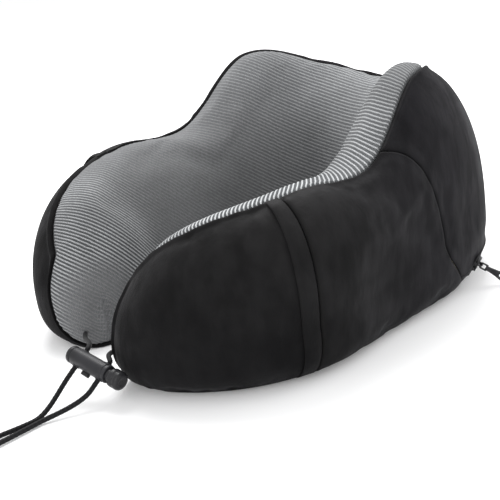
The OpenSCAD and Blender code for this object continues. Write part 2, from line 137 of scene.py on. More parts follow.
def rear_seam(phi):
    """Share of the run at which the seam between back and side panels crosses angle phi."""
    return (REAR_AT + REAR_LEAN * phi) / RUN


def skin(v, phi, depth=0.0):
    """Point of the full outline: v is the signed share of the run, phi the angle round the section."""
    v, phi, depth = np.broadcast_arrays(*(np.asarray(a, float) for a in (v, phi, depth)))
    t, side = np.abs(v), np.where(v < 0, -1, 1)
    s = t * (RUN - depth)
    left = np.maximum(RUN - depth - s, 0.0005)
    w, h, b = station(HALF, t) - depth, station(CREST, t) - depth, station(BELLY, t)
    shut = (1 - np.maximum(1 - left / 34, 0) ** 2.5) ** 0.4
    fall = 0.43 + 0.57 * np.sqrt(1 - np.maximum(1 - left / 36, 0) ** 2)
    top = np.maximum(h * fall, b + 4)
    cs, sn = np.cos(np.radians(phi)), np.sin(np.radians(phi))
    up = sn > 0
    a = np.sign(cs) * np.where(up, np.abs(cs) ** 0.95, np.abs(cs) ** SIDE_ROUND)
    rise = np.where(up, np.abs(sn) ** CROWN_ROUND, 0)
    z = np.where(up, b + (top - b) * rise, b * (1 - BELLY_DROP * np.abs(sn) ** SIDE_ROUND))
    slope = station(NECK_SLOPE, t)
    lat = w * shut * (a + station(LEAN, t) * (1 - b / h) * rise + slope * np.maximum(-a, 0) * rise)
    c, d = centre(s), heading(s)
    return np.stack([side * (c[..., 0] + lat * np.sin(d)), c[..., 1] + lat * np.cos(d),
                     np.maximum(z, np.maximum(depth, 0.0))], -1)


def cubic_weights(f):
    return np.stack([-f + 2 * f * f - f ** 3, 2 - 5 * f * f + 3 * f ** 3,
                     f + 4 * f * f - 3 * f ** 3, -f * f + f ** 3], -1) / 2


def resample(table, x, y, wrap):
    """Smooth value of a 2-D table (with optional vector values) at fractional rows x and columns y."""
    n0, n1 = table.shape[:2]
    x = np.clip(x, 0, n0 - 1)
    i = np.clip(np.floor(x).astype(int), 0, n0 - 2)
    if wrap:
        j = np.floor(y).astype(int)
    else:
        y = np.clip(y, 0, n1 - 1)
        j = np.clip(np.floor(y).astype(int), 0, n1 - 2)
    wx, wy = cubic_weights(x - i), cubic_weights(y - j)
    total = 0
    for a in range(4):
        ia = np.clip(i + a - 1, 0, n0 - 1)
        for b in range(4):
            jb = (j + b - 1) % n1 if wrap else np.clip(j + b - 1, 0, n1 - 1)
            w = wx[..., a] * wy[..., b]
            total = total + (w[..., None] if table.ndim == 3 else w) * table[ia, jb]
    return total


# --- cloth simulation of the stuffed cover
SIM_ROWS, SIM_COLS, SIM_BUNCH, SIM_FRAMES, SWELL_CAP = 116, 66, 1.15, 20, 5.0


def mesh_object(name, points, faces):
    mesh = bpy.data.meshes.new(name)
    mesh.from_pydata((np.asarray(points, float) * MM).tolist(), [], [list(map(int, f)) for f in faces])
    mesh.validate()
    obj = bpy.data.objects.new(name, mesh)
    bpy.context.scene.collection.objects.link(obj)
    mesh.shade_smooth()
    return obj


def pinned(v, phi):
    """How firmly the cloth is held: at seams, at the base, round the zip and at the tips."""
    v, phi = np.broadcast_arrays(v, phi)
    t, s = np.abs(v), np.abs(v) * RUN
    p = (phi + 180) % 360 - 180
    seam = seam_angle(v)
    hold = bell(p - seam, 3.2 / 0.9)
    base = between(p, -128, 6, -52, 6)
    side = (p > BASE_EDGE) & (p < seam)
    rear = bell((t - rear_seam(p)) * RUN, 3.0) * side
    mouth = 0.8 * bell(s - MOUTH_AT + 3, 4.0) * side
    zipped = between(p, -56, 6, -12, 6) * smooth((94 - s) / 8)
    tips = smooth((t - 0.965) / 0.03)
    return np.clip(np.maximum.reduce([hold, base, rear, mouth, zipped, tips]), 0, 1)


def ring_faces(rows, cols, first=0, inward=False):
    """Quads between rings of points, with a cap at each end."""
    i = np.arange(rows * cols).reshape(rows, cols) + first
    j = np.roll(i, -1, 1)
    a, b, c, d = i[:-1], j[:-1], j[1:], i[1:]
    quads = np.stack([a, d, c, b] if inward else [a, b, c, d], -1)
    return quads.reshape(-1, 4).tolist() + [i[0][::-1].tolist(), i[-1].tolist()]


def stuff_cover():
    """Blows the sewn cover out between its seams; returns how far each point of a (v, phi) grid moves."""
    v = bunched(np.linspace(-1, 1, SIM_ROWS), SIM_BUNCH)[:, None]
    phi = (np.arange(SIM_COLS) * 360 / SIM_COLS - 180)[None]
    start = skin(v, phi, COVER_DEPTH + REST_DEPTH)
    hold = pinned(v, phi)
    bag = mesh_object("bag", start.reshape(-1, 3), ring_faces(SIM_ROWS, SIM_COLS, inward=True))
    group = bag.vertex_groups.new(name="pin")
    for k, w in enumerate(hold.ravel()):
        if w > 0.02:
            group.add([k], float(w), "REPLACE")
    cloth = bag.modifiers.new("Cloth", "CLOTH")
    cfg = cloth.settings
    cfg.quality, cfg.mass = 5, 0.25
    cfg.tension_stiffness = cfg.compression_stiffness = 18
    cfg.shear_stiffness, cfg.bending_stiffness = 6, 2.5
    cfg.use_pressure, cfg.uniform_pressure_force = True, 4.0
    cfg.vertex_group_mass, cfg.pin_stiffness = "pin", 1.0
    cfg.shrink_min = -0.005
    cfg.effector_weights.gravity = 0
    cloth.collision_settings.use_collision = False
    cloth.point_cache.frame_start, cloth.point_cache.frame_end = 1, SIM_FRAMES
    scene = bpy.context.scene
    for number in range(1, SIM_FRAMES + 1):
        scene.frame_set(number)
    shape = bag.evaluated_get(bpy.context.evaluated_depsgraph_get()).to_mesh()
    co = np.empty(len(shape.vertices) * 3)
    shape.vertices.foreach_get("co", co)
    moved = co.reshape(SIM_ROWS, SIM_COLS, 3) / MM - start
    scene.frame_set(1)
    bpy.data.objects.remove(bag)
    far = np.linalg.norm(moved, axis=-1, keepdims=True)
    return moved * SWELL_CAP / (far + SWELL_CAP)


swell = stuff_cover()


def cover(v, phi, depth):
    """A point of the sewn and stuffed cover at a depth below the full outline."""
    v, phi, depth = np.broadcast_arrays(*(np.asarray(a, float) for a in (v, phi, depth)))
    p = (phi + 180) % 360
    row = (bunched(np.clip(v, -1, 1), 1 / SIM_BUNCH) + 1) / 2 * (SIM_ROWS - 1)
    move = resample(swell, row, p * SIM_COLS / 360, True)
    q = p - 180
    flat = between(q, -130, 8, -50, 8)
    firm = np.clip(np.maximum(pinned(v, phi), flat), 0, 1)
    sunk = depth + ((REST_DEPTH * 0.8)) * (1 - flat) * (1 - 0.4 * firm)
    point = skin(v, phi, sunk) + move
    point[..., 2] = np.maximum(point[..., 2], 0.05)
    return point


def scale_round(v, phi):
    """Millimetres of cloth per degree round the section."""
    return np.linalg.norm(skin(v, phi + 1, 1) - skin(v, phi - 1, 1), axis=-1) / 2


# --- mesh helpers
def attribute(obj, name, values):
    a = obj.data.attributes.new(name, "FLOAT", "POINT")
    a.data.foreach_set("value", np.asarray(values, np.float32).ravel())


def shell(outer, inner):
    """Points and faces of a closed sheet from two matching grids of points."""
    rows, cols = outer.shape[:2]
    n = rows * cols
    i = np.arange(n).reshape(rows, cols)
    quads = np.stack([i[:-1, :-1], i[1:, :-1], i[1:, 1:], i[:-1, 1:]], -1).reshape(-1, 4)
    rim = np.concatenate([i[0], i[1:, -1], i[-1, -2::-1], i[-2:0:-1, 0]])
    nxt = np.roll(rim, -1)
    sides = np.stack([rim, nxt, nxt + n, rim + n], -1)
    faces = quads.tolist() + (quads[:, ::-1] + n).tolist() + sides.tolist()
    return np.concatenate([outer.reshape(-1, 3), inner.reshape(-1, 3)]), faces


def sweep(path, a, b):
    """Tube through path; a and b hold the section's offsets across and up, one row per path point."""
    path = np.asarray(path, float)
    n = len(path)
    tangent = np.gradient(path, axis=0)
    tangent /= np.linalg.norm(tangent, axis=1)[:, None]
    side = np.zeros_like(path)
    seed = np.cross(tangent[0], (0.1, 0.2, 1.0))
    side[0] = seed / np.linalg.norm(seed)
    for k in range(1, n):
        s = side[k - 1] - tangent[k] * (side[k - 1] @ tangent[k])
        side[k] = s / np.linalg.norm(s)
    lift = np.cross(tangent, side)
    points = path[:, None] + a[..., None] * side[:, None] + b[..., None] * lift[:, None]
    return points.reshape(-1, 3), ring_faces(n, points.shape[1])


def tube(path, wide, sides, high=None):
    """Tube with a round section, or an oval one where its height is given too."""
    a = np.arange(sides) * 2 * math.pi / sides
    high = wide if high is None else high
    size = (len(path), sides)
    return sweep(path, np.broadcast_to(wide * np.cos(a), size), np.broadcast_to(high * np.sin(a), size))


def run_along(path):
    """Length from the start of a line to each of its points."""
    return np.concatenate([[0], np.cumsum(np.linalg.norm(np.diff(path, axis=0), axis=1))])


def resampled(path, run, at):
    """Points of a line at the lengths in at, where run holds the length at each of its own points."""
    return np.stack([np.interp(at, run, path[:, k]) for k in range(path.shape[1])], -1)


def join(parts):
    points, faces, base = [], [], 0
    for p, f in parts:
        points.append(p)
        faces += [[k + base for k in face] for face in f]
        base += len(p)
    return np.concatenate(points), faces


# --- materials
class Finish:
    """A Principled material wired from noise, attributes and bumps."""

    def __init__(self, name):
        self.material = bpy.data.materials.new(name)
        self.material.use_nodes = True
        self.tree = self.material.node_tree
        self.bsdf = self.tree.nodes["Principled BSDF"]
        self.place = self.add("ShaderNodeTexCoord").outputs["Object"]

    def put(self, socket, value):
        if isinstance(value, bpy.types.NodeSocket):
            self.tree.links.new(value, socket)
        elif isinstance(value, tuple) and len(socket.default_value) == 4:
            socket.default_value = (*value, 1.0)
        else:
            socket.default_value = value

    def add(self, kind, inputs=None, **props):
        node = self.tree.nodes.new(kind)
        for key, value in props.items():
            setattr(node, key, value)
        for key, value in (inputs or {}).items():
            self.put(node.inputs[key], value)
        return node

    def math(self, operation, a, b=0.0):
        return self.add("ShaderNodeMath", {0: a, 1: b}, operation=operation).outputs[0]

    def wave(self, name, pitch):
        """An attribute in mm as an angle that turns once per pitch."""
        return self.math("MULTIPLY", self.attr(name), 2 * math.pi / pitch)

    def attr(self, name):
        return self.add("ShaderNodeAttribute", attribute_name=name).outputs["Fac"]

    def noise(self, scale, detail=2.0, vector=None):
        inputs = {"Vector": vector or self.place, "Scale": scale, "Detail": detail, "Roughness": 0.5}
        return self.add("ShaderNodeTexNoise", inputs).outputs["Fac"]

    def scaled(self, vector, by):
        return self.add("ShaderNodeVectorMath", {0: vector, 1: by}, operation="MULTIPLY").outputs[0]

    def span(self, value, lo, hi, to_lo=0.0, to_hi=1.0):
        return self.add("ShaderNodeMapRange", {
            "Value": value, "From Min": lo, "From Max": hi, "To Min": to_lo, "To Max": to_hi},
            interpolation_type="SMOOTHSTEP").outputs["Result"]

    def mix(self, share, a, b):
        node = self.add("ShaderNodeMix", {0: share}, data_type="RGBA")
        self.put(node.inputs[6], a)
        self.put(node.inputs[7], b)
        return node.outputs[2]

    def bump(self, height, depth_mm, normal=None):
        inputs = {"Height": height, "Strength": 1.0, "Distance": depth_mm * MM}
        if normal is not None:
            inputs["Normal"] = normal
        return self.add("ShaderNodeBump", inputs).outputs["Normal"]

    def done(self, **inputs):
        for key, value in inputs.items():
            self.put(self.bsdf.inputs[key.replace("_", " ")], value)
        return self.material


def velour_finish():
    f = Finish("velour")
    y, z = f.add("ShaderNodeSeparateXYZ", {0: f.place}).outputs[1:3]
    patches = f.span(f.noise(26, 3.0), 0.36, 0.66)
    nap = f.span(f.noise(1.0, 3.0, f.scaled(f.place, (120, 120, 45))), 0.3, 0.7)
    tone = f.math("ADD", f.math("MULTIPLY", patches, 0.6), f.math("MULTIPLY", nap, 0.4))
    front = f.mix(tone, (0.0045, 0.0044, 0.0046), (0.0108, 0.0104, 0.0108))
    back = f.mix(tone, (0.0046, 0.0043, 0.0054), (0.0096, 0.0090, 0.0112))
    colour = f.mix(f.span(y, -0.165, -0.025), front, back)
    # Painted shade: the velour's colour darkens toward the floor, most at the front.
    low = f.math("MULTIPLY", f.span(z, 0.09, 0.0), f.span(y, -0.06, -0.2, 0.35, 1.0))
    colour = f.mix(f.math("MULTIPLY", low, 0.9), colour, (0.0018, 0.0017, 0.0021))
    # Painted shade along the seams, where edge is high.
    colour = f.mix(f.attr("edge"), colour, (0.0052, 0.005, 0.005))
    pile = f.bump(f.noise(2600, 2.0), 0.16, f.bump(nap, 0.25))
    return f.done(Base_Color=colour, Roughness=f.span(tone, 0, 1, 0.82, 0.70), Normal=pile,
                  Sheen_Weight=f.span(tone, 0, 1, 0.015, 0.055), Sheen_Roughness=0.5,
                  Specular_IOR_Level=0.10, Sheen_Tint=(0.55, 0.54, 0.58))


def knit_finish(name, dark, mean, rib):
    f = Finish(name)
    tone = f.span(f.noise(35, 3.0), 0.3, 0.7, 0.9, 1.08)
    loops = f.wave("along", LOOP_PITCH)
    if rib:
        loops = f.math("ADD", loops, f.math("MULTIPLY", f.attr("across"), 5.0))
    weave = f.math("SINE", loops)
    shade = f.span(weave, -1, 1, 0.86, 1.1)
    fuzz = f.span(f.noise(900, 3.0), 0.25, 0.75, 0.86, 1.14)
    colour = f.mix(f.attr("contrast"), mean, dark)
    # The shade attribute paints light and shade into the knit's colour.
    value = f.math("MULTIPLY", f.math("MULTIPLY", tone, shade), f.math("MULTIPLY", fuzz, f.attr("shade")))
    bump = f.bump(weave, 0.10, f.bump(f.noise(1800, 2.0), 0.08))
    return f.done(Base_Color=f.scaled(colour, value), Roughness=0.86, Normal=bump, Sheen_Weight=0.10,
                  Sheen_Roughness=0.45, Specular_IOR_Level=0.2)


def plastic_finish(name, low, high, rough):
    f = Finish(name)
    mottled = f.noise(420, 4.0)
    colour = f.mix(f.span(f.noise(60, 2.0), 0.3, 0.7), low, high)
    worn = f.span(f.noise(1500, 2.0), 0.35, 0.65, rough - 0.07, rough + 0.07)
    return f.done(Base_Color=colour, Roughness=worn, Normal=f.bump(mottled, 0.025), Specular_IOR_Level=0.25)


def metal_finish(name, low, high, rough):
    f = Finish(name)
    colour = f.mix(f.span(f.noise(300, 3.0), 0.3, 0.7), low, high)
    worn = f.span(f.noise(900, 3.0), 0.3, 0.7, rough - 0.1, rough + 0.1)
    brushed = f.noise(1.0, 2.0, f.scaled(f.place, (300, 300, 2500)))
    return f.done(Base_Color=colour, Metallic=0.9, Roughness=worn, Normal=f.bump(brushed, 0.02))


def cord_finish():
    f = Finish("cord")
    colour = f.mix(f.span(f.attr("strand"), 0.0, 1.0), (0.003, 0.003, 0.004), (0.013, 0.013, 0.014))
    return f.done(Base_Color=colour, Roughness=0.6, Normal=f.bump(f.noise(3500, 2.0), 0.06),
                  Sheen_Weight=0.04, Specular_IOR_Level=0.12)


def tape_finish():
    f = Finish("zip_tape")
    rows, cross = (f.math("SINE", f.wave(name, TAPE_PITCH)) for name in ("along", "across"))
    weave = f.math("MULTIPLY", rows, cross)
    colour = f.mix(f.span(weave, -1, 1), (0.008, 0.008, 0.009), (0.022, 0.022, 0.024))
    return f.done(Base_Color=colour, Roughness=0.75, Normal=f.bump(weave, 0.08), Specular_IOR_Level=0.25)


def foam_finish():
    f = Finish("foam")
    cells = f.add("ShaderNodeTexVoronoi", {"Vector": f.place, "Scale": 1400.0}).outputs["Distance"]
    colour = f.mix(f.span(f.noise(40, 3.0), 0.3, 0.7), (0.78, 0.70, 0.50), (0.86, 0.80, 0.62))
    return f.done(Base_Color=colour, Roughness=0.9, Normal=f.bump(cells, 0.25))


VELOUR = velour_finish()
KNIT_GROUND = knit_finish("knit_ground", (0.050, 0.054, 0.057), (0.150, 0.153, 0.158), False)
KNIT_RIB = knit_finish("knit_rib", (0.47, 0.48, 0.49), (0.170, 0.172, 0.176), True)
TAPE = tape_finish()
COIL = plastic_finish("zip_teeth", (0.010, 0.010, 0.011), (0.018, 0.018, 0.019), 0.38)
METAL = metal_finish("zip_metal", (0.030, 0.030, 0.032), (0.055, 0.055, 0.058), 0.38)
CORD = cord_finish()
PLASTIC = plastic_finish("lock_plastic", (0.014, 0.014, 0.016), (0.022, 0.022, 0.025), 0.42)
BUTTON = plastic_finish("button_plastic", (0.012, 0.012, 0.013), (0.020, 0.020, 0.022), 0.34)
STEEL = metal_finish("spring_steel", (0.45, 0.45, 0.46), (0.60, 0.60, 0.61), 0.3)
FOAM = foam_finish()


def finish_piece(obj, material, body, *nodes):
    """Gives a piece its material and slot, the body it rides and the part's nodes it stands for."""
    obj.data.materials.append(material)
    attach(obj, body)
    if nodes:
        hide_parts(*nodes)


# --- the knit: flatten, stripe, rib
def flatten(x3, iterations=240):
    """Unrolls half of the knit panel with as little stretch as it can, then turns the stripe direction
    gradually away from the nape. Returns the flat coordinates across (u) and down (f) the cloth."""
    n0, n1 = x3.shape[:2]
    idx = np.arange(n0 * n1).reshape(n0, n1)
    a, b, c, d = idx[:-1, :-1], idx[1:, :-1], idx[1:, 1:], idx[:-1, 1:]
    tri = np.concatenate([np.stack([a, b, c], -1).reshape(-1, 3), np.stack([a, c, d], -1).reshape(-1, 3)])
    p = x3.reshape(-1, 3)
    e1, e2 = p[tri[:, 1]] - p[tri[:, 0]], p[tri[:, 2]] - p[tri[:, 0]]
    l1 = np.linalg.norm(e1, axis=1) + 1e-12
    x = e1 / l1[:, None]
    nrm = np.cross(e1, e2)
    y = np.cross(nrm / (np.linalg.norm(nrm, axis=1) + 1e-12)[:, None], x)
    flat = np.zeros((len(tri), 3, 2))
    flat[:, 1, 0], flat[:, 2, 0], flat[:, 2, 1] = l1, (e2 * x).sum(1), (e2 * y).sum(1)
    weight = np.zeros((len(tri), 3))
    for k in range(3):
        u, v = flat[:, (k + 1) % 3] - flat[:, k], flat[:, (k + 2) % 3] - flat[:, k]
        area = np.abs(u[:, 0] * v[:, 1] - u[:, 1] * v[:, 0])
        weight[:, k] = np.clip((u * v).sum(1) / (area + 1e-9), 0.04, 40) / 2
    n = len(p)
    lap = np.zeros((n, n))
    ends = [(tri[:, (k + 1) % 3], tri[:, (k + 2) % 3]) for k in range(3)]
    for k, (i, j) in enumerate(ends):
        w = weight[:, k]
        np.add.at(lap, (i, i), w)
        np.add.at(lap, (j, j), w)
        np.add.at(lap, (i, j), -w)
        np.add.at(lap, (j, i), -w)
    free = np.setdiff1d(np.arange(n), idx[0])
    inv_x = np.linalg.inv(lap[np.ix_(free, free)])
    inv_y = np.linalg.inv(lap[1:, 1:])
    mid = x3[:, n1 // 2]
    along = np.concatenate([[0], np.cumsum(np.linalg.norm(np.diff(mid, axis=0), axis=1))])
    down = np.cumsum(np.concatenate([np.zeros((n0, 1)), np.linalg.norm(np.diff(x3, axis=1), axis=2)], 1), 1)
    sheet = np.stack([np.repeat(along[:, None], n1, 1), down], -1).reshape(-1, 2)
    t1, t2 = sheet[tri[:, 1]] - sheet[tri[:, 0]], sheet[tri[:, 2]] - sheet[tri[:, 0]]
    flat[:, :, 1] *= np.sign(np.median(t1[:, 0] * t2[:, 1] - t1[:, 1] * t2[:, 0]))

    def settle(turn):
        rhs = np.zeros((n, 2))
        co, si = np.cos(turn), np.sin(turn)
        for k, (i, j) in enumerate(ends):
            q = flat[:, (k + 1) % 3] - flat[:, (k + 2) % 3]
            r = np.stack([co * q[:, 0] - si * q[:, 1], si * q[:, 0] + co * q[:, 1]], -1)
            r *= weight[:, k, None]
            np.add.at(rhs, i, r)
            np.add.at(rhs, j, -r)
        out = np.zeros((n, 2))
        out[free, 0] = inv_x @ rhs[free, 0]
        out[1:, 1] = inv_y @ rhs[1:, 1]
        return out

    for _ in range(iterations):
        m = np.zeros((len(tri), 2, 2))
        for k, (i, j) in enumerate(ends):
            du, dq = sheet[i] - sheet[j], flat[:, (k + 1) % 3] - flat[:, (k + 2) % 3]
            m += weight[:, k, None, None] * du[:, :, None] * dq[:, None, :]
        turn = np.arctan2(m[:, 1, 0] - m[:, 0, 1], m[:, 0, 0] + m[:, 1, 1])
        sheet = settle(turn)
    row = np.repeat(np.linspace(0, 1, n0)[:, None], n1, 1).reshape(-1)[tri].mean(1)
    column = np.repeat(np.linspace(0, 1, n1)[None], n0, 0).reshape(-1)[tri].mean(1)
    distance = knit_v(row) * RUN
    crest = bell(column, 0.22) * between(distance, 60, 50, 200, 50)
    turned = settle(turn + np.radians(26 * (1 - np.exp(-distance / 70)) + 13 * crest))
    return sheet[:, 0].reshape(n0, n1), turned[:, 1].reshape(n0, n1)


FLAT_ROWS, FLAT_COLS = 64, 22


def knit_v(u):
    return bunched(u, 1.4)


def knit_phi(v, j):
    """Angle at share j of the way from the velour's seam round to the base seam."""
    lo = seam_angle(v) + 0.05
    return lo + (KNIT_EDGE - lo) * j


def widest_phi(v, j):
    """The same for the wider of the two arms' knit at each distance from the nape."""
    return np.minimum(knit_phi(v, j), knit_phi(-v, j))


u_half = np.linspace(0, 1, FLAT_ROWS + 1)[:, None]
j_half = np.linspace(0, 1, FLAT_COLS + 1)[None]
v_half = knit_v(u_half)
cloth_x, cloth_f = flatten(skin(v_half, widest_phi(v_half, j_half), COVER_DEPTH))


def cloth_xf(u, j):
    """Flat coordinates of the knit at signed share u along the panel and share j across it."""
    v = knit_v(u)
    lo = widest_phi(v, 0)
    column = (knit_phi(v, j) - lo) / (KNIT_EDGE - lo) * FLAT_COLS
    x = resample(cloth_x, np.abs(u) * FLAT_ROWS, column, False)
    return np.sign(u) * x, resample(cloth_f, np.abs(u) * FLAT_ROWS, column, False)


def knit_depth(v, phi):
    """The knit dips into its seam with the velour and into the base seam."""
    k = scale_round(v, phi)
    a, b = (phi - seam_angle(v)) * k, (KNIT_EDGE - phi) * k
    return COVER_DEPTH + 1.5 * bell(a, 1.5) + 0.9 * bell(b, 1.5)


def contrast_of(v, phi):
    """How far the stripes stand out: most on the right arm and at the tips, least mid left arm."""
    t = np.abs(v)
    rim = smooth((112 - phi) / 24) * between(t, 0.15, 0.1, 0.84, 0.1)
    strength = np.where(v < 0, station(CONTRAST_LEFT, t) * (1 - 0.6 * rim), station(CONTRAST_RIGHT, t))
    return np.clip(strength * smooth((0.995 - t) / 0.035), 0.05, 1)


def shade_of(v, phi):
    """Painted light and shade in the knit's colour: darker deep in the neck opening, on the inner walls, on
    the right arm's crest and toward the tips, lighter at the nape.
    """
    t = np.abs(v)
    deep = smooth((phi - 118) / 50)
    inner = between(t, 0.03, 0.2, 0.62, 0.3)
    middle = between(t, 0.35, 0.15, 0.9, 0.15)
    nape = smooth((0.3 - t) / 0.2) * smooth((165 - phi) / 50)
    tip = smooth((t - 0.8) / 0.1)
    crest = between(v, 0.06, 0.1, 0.46, 0.15) * smooth((122 - phi) / 16)
    side = smooth((phi - 96) / 40) * middle
    return 1.14 - 0.40 * deep * inner - 0.30 * side - 0.1 * deep + 0.16 * nape - 0.26 * tip - 0.26 * crest


def mark_knit(obj, u, j, v, phi, spread):
    """Stores what the knit's materials need at each mesh point; spread copies a value to its points."""
    x, f = cloth_xf(u, j)
    for name, value in (("along", x), ("across", f), ("contrast", contrast_of(v, phi)),
                        ("shade", shade_of(v, phi))):
        attribute(obj, name, spread(value))


def build_knit():
    u = np.linspace(-1, 1, 460)
    close = np.array([0.3, 0.6, 0.9])
    u_all = np.concatenate([-np.ones(3), u, np.ones(3)])[:, None]
    w = np.concatenate([close[::-1], np.zeros(len(u)), close])[:, None, None]
    j = np.linspace(0, 1, 130)[None]
    v = knit_v(u_all)
    phi = knit_phi(v, j)
    grids = []
    for thick in (0.0, CLOTH):
        depth = knit_depth(v, phi) + thick
        g = cover(v, phi, depth)
        m = cover(v, 180 - phi, depth)
        grids.append(g + 0.5 * w * (m - g))
    obj = mesh_object("knit_cover", *shell(*grids))
    u_grid, j_grid = np.broadcast_arrays(u_all, j)
    mark_knit(obj, u_grid, j_grid, v, phi, lambda value: np.tile(value.ravel(), 2))
    finish_piece(obj, KNIT_GROUND, "pillow", "knit_panel")


def contour_lines(table, level):
    """Lines of one level through a table, as lists of fractional (row, column)."""
    g = table - level
    g = np.where(np.abs(g) < 1e-9, 1e-9, g)
    links = {}
    hor = g[:-1] * g[1:] < 0
    ver = g[:, :-1] * g[:, 1:] < 0
    count = hor[:, :-1].astype(int) + hor[:, 1:] + ver[:-1] + ver[1:]
    for i, j in np.argwhere(count == 2):
        a, b = [(kind, i + di, j + dj) for kind, di, dj in ((0, 0, 0), (0, 0, 1), (1, 0, 0), (1, 1, 0))
                if (ver if kind else hor)[i + di, j + dj]]
        links.setdefault(a, []).append(b)
        links.setdefault(b, []).append(a)

    def spot(key):
        kind, i, j = key
        if kind == 0:
            return i + g[i, j] / (g[i, j] - g[i + 1, j]), j
        return i, j + g[i, j] / (g[i, j] - g[i, j + 1])

    lines, seen = [], set()
    for start in sorted(k for k, v in links.items() if len(v) == 1):
        if start in seen:
            continue
        line, key = [], start
        while key is not None:
            seen.add(key)
            line.append(spot(key))
            key = next((k for k in links[key] if k not in seen), None)
        lines.append(np.array(line, float))
    return lines


def build_ribs():
    rows, cols, margin = 620, 170, 0.004
    u = np.linspace(-1, 1, rows)[:, None] * np.ones((1, cols))
    j = np.ones((rows, 1)) * np.linspace(margin, 1 - margin, cols)[None]
    f = cloth_xf(u, j)[1]
    lines = []
    for level in np.arange(f.min() + RIB_PITCH / 2, f.max(), RIB_PITCH):
        for line in contour_lines(f, level):
            if len(line) < 6:
                continue
            uj = np.stack([line[:, 0] / (rows - 1) * 2 - 1,
                           margin + line[:, 1] / (cols - 1) * (1 - 2 * margin)], -1)
            v = knit_v(uj[:, 0])
            run = run_along(skin(v, knit_phi(v, uj[:, 1]), 1))
            if run[-1] < 4:
                continue
            lines.append(resampled(uj, run, np.linspace(0, run[-1], max(4, int(run[-1] / 1.3)))))
    uj = np.concatenate(lines)
    v = knit_v(uj[:, 0])
    phi = knit_phi(v, uj[:, 1])
    depth = knit_depth(v, phi)
    at = cover(v, phi, depth)
    dv, dp = cover(v + 4e-4, phi, depth) - at, cover(v, phi + 0.25, depth) - at
    normal = np.cross(dv, dp)
    normal /= np.linalg.norm(normal, axis=1)[:, None]
    probe = skin(0.3, 90.0, 0.0) - skin(0.3, 90.0, 5.0)
    k = np.argmin(np.abs(v - 0.3) + np.abs(phi - 90) / 100)
    if normal[k] @ probe < 0:
        normal = -normal
    points, faces, begin = [], [], 0
    for line in lines:
        length = len(line)
        sl = slice(begin, begin + length)
        p, nn = at[sl], normal[sl]
        t = np.gradient(p, axis=0)
        side = np.cross(nn, t)
        side /= np.linalg.norm(side, axis=1)[:, None] + 1e-12
        fade = np.minimum(1, np.minimum(np.arange(length), np.arange(length)[::-1]) / 1.5 + 0.35)[:, None]
        strong = contrast_of(v[sl], phi[sl])[:, None]
        wide, high = 0.58 * fade, (0.08 + 0.18 * strong) * fade
        ring = [p - side * wide - nn * 0.08, p - side * wide * 0.55 + nn * high,
                p + side * wide * 0.55 + nn * high, p + side * wide - nn * 0.08]
        points.append(np.stack(ring, 1).reshape(-1, 3))
        faces += ring_faces(length, 4, begin * 4)
        begin += length
    obj = mesh_object("knit_ribs", np.concatenate(points), faces)
    mark_knit(obj, uj[:, 0], uj[:, 1], v, phi, lambda value: np.repeat(value, 4))
    finish_piece(obj, KNIT_RIB, "pillow")


build_knit()
build_ribs()


# --- velour panels
# Degrees between the pocket's top edge and the seam above it
POCKET_GAP = 1.4
# Run from the nape at which the zip ends
ZIP_END = BACK_RADIUS * math.radians(ZIP_TURN)


def velour_sheet(name, v, phi, depth, edge, thick, *nodes):
    """A sheet of velour over a (v, phi) grid; edge tells the material how near a seam is, where it paints
    shade into the colour.
    """
    obj = mesh_object(name, *shell(cover(v, phi, depth), cover(v, phi, depth + thick)))
    attribute(obj, "edge", np.tile(np.broadcast_to(edge, phi.shape).ravel(), 2))
    finish_piece(obj, VELOUR, "pillow", *nodes)


def seam_dip(distance, roll=0.9, dip=1.6):
    """Depth change near a seam at a distance in mm: the edge rolls up, then turns down into the seam."""
    return dip * bell(distance, 1.1) - roll * bell(distance - 2.6, 1.7)


def seam_shadow(distance):
    return bell(distance, 1.6)


def side_grid(arm, first, last, lo, hi_gap, rows, cols, bunch=1.0):
    """(t, phi) grid of one arm between two bounds that may depend on the angle round the section."""
    j = np.linspace(0, 1, cols)[None]
    i = 1 - (1 - np.linspace(0, 1, rows)[:, None]) ** bunch
    guess = lo + (75 - lo) * j
    for _ in range(3):
        v0 = first(guess)
        guess = lo + (seam_angle(arm * v0) - hi_gap - lo) * j
    v = v0 + (last(guess) - v0) * i
    hi = seam_angle(arm * v) - hi_gap
    return v, lo + (hi - lo) * j


def each_side(name, build, node):
    for arm, side in ((1, "right"), (-1, "left")):
        v, phi, depth, edge, thick = build(arm)
        grids = [g[::arm] for g in (v * arm, phi, depth, edge)]
        velour_sheet(f"{name}_{side}", *grids, thick, f"{node}_{side}")


def side_velour(arm):
    v, phi = side_grid(arm, lambda p: rear_seam(p) + 0.0005, np.ones_like, BASE_EDGE, 0.05, 190, 110, 1.4)
    k = scale_round(v, phi)
    top, base = (seam_angle(arm * v) - phi) * k, (phi - BASE_EDGE) * k
    rear = np.abs(v - rear_seam(phi)) * RUN
    depth = COVER_DEPTH + seam_dip(top, 1.1) + seam_dip(base, 0.5, 0.6) + seam_dip(rear, 0.2, 0.5)
    depth = depth + 0.5 * smooth((MOUTH_AT / RUN - v) * RUN / 6)
    edge = np.maximum.reduce([seam_shadow(top), 0.6 * seam_shadow(base), 0.3 * seam_shadow(rear)])
    return v, phi, depth, edge, CLOTH


